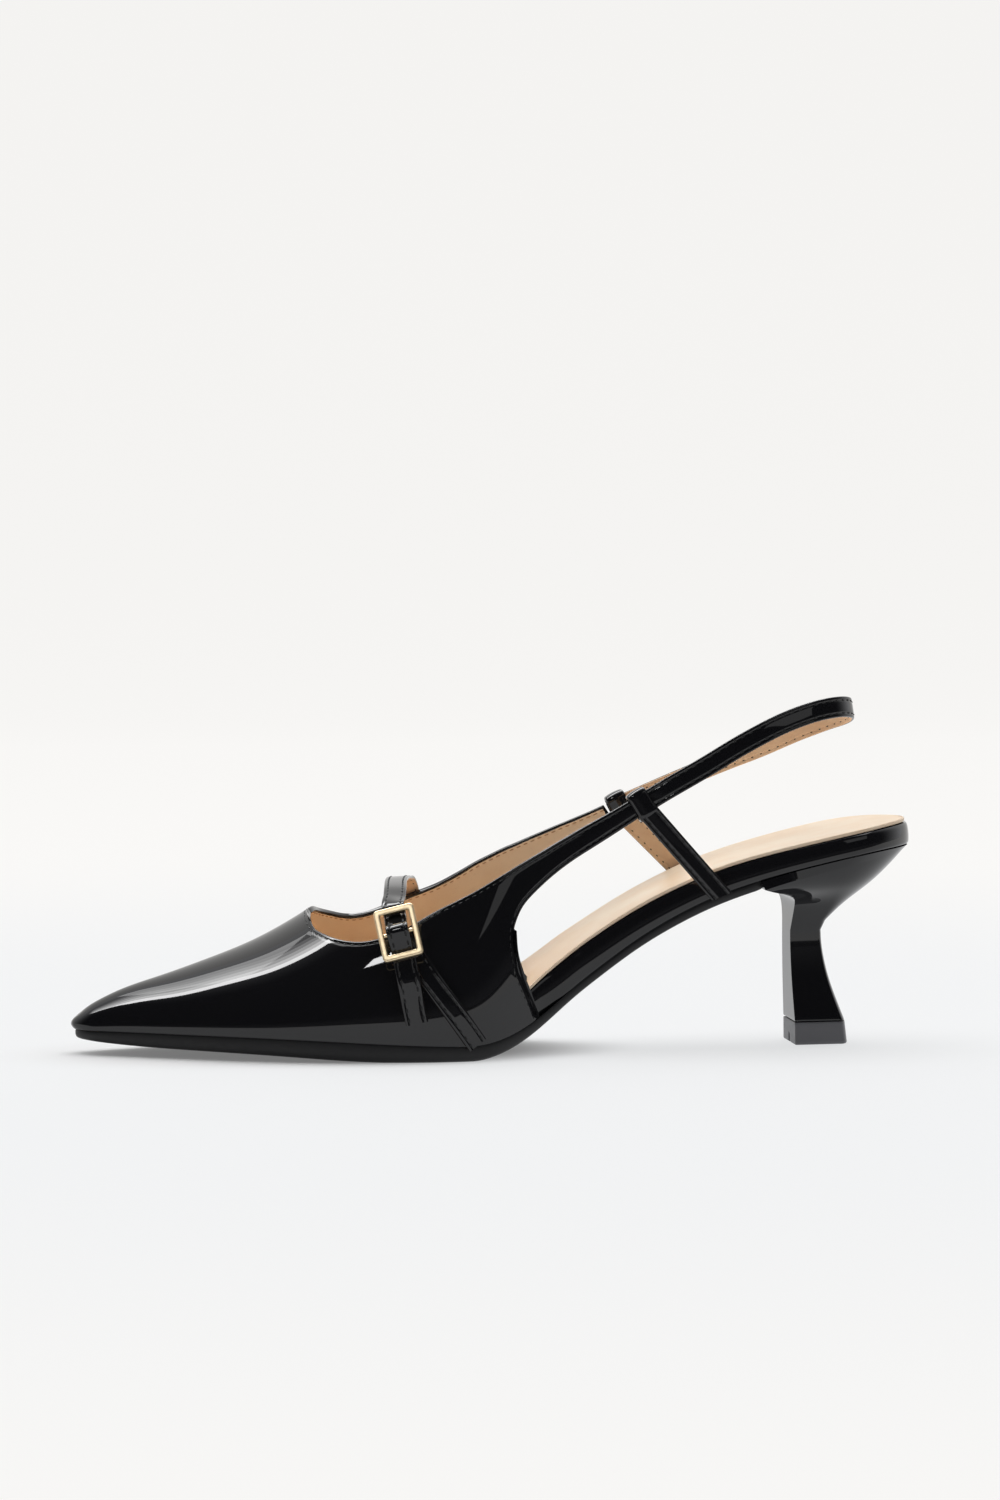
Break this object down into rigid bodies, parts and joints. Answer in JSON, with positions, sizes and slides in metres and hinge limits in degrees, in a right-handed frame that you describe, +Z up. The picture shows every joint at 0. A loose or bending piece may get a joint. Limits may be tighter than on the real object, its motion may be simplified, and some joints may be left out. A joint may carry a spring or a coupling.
{
  "type": "slingback pump shoe",
  "caption": "Pointed-toe slingback pump with a flared mid-height heel, open sides, a buckled instep strap and side stays that carry the heel strap.",
  "frame": {"origin": "middle of the shoe's length and width, on the floor", "axes": "+X from the toe to the heel, +Y from the outer side to the inner side of the foot, +Z up"},
  "size_m": [0.26, 0.077, 0.1081],
  "materials": {
    "patent_leather": "black patent, high gloss",
    "strap_leather": "black patent, high gloss, stitched edges",
    "rand_leather": "black patent wrapped round the board",
    "lining_leather": "peach tan, smooth satin",
    "sole_rubber": "black, satin",
    "heel_cover": "black, covered with patent, high gloss",
    "tip_rubber": "grey black, matte",
    "elastic_web": "black woven elastic",
    "buckle_metal": "pale gold, polished"
  },
  "bodies": {
    "root": {"upper": "patent_leather", "outsole": "sole_rubber", "insole_board": "rand_leather", "insole": "lining_leather", "heel": "heel_cover", "heel_tip": "tip_rubber", "sling_strap": "strap_leather", "elastic": "elastic_web", "stay_lateral": "strap_leather", "stay_medial": "strap_leather", "buckle": "buckle_metal", "buckle_stay": "strap_leather", "instep_strap": "strap_leather"}
  },
  "joints": []
}
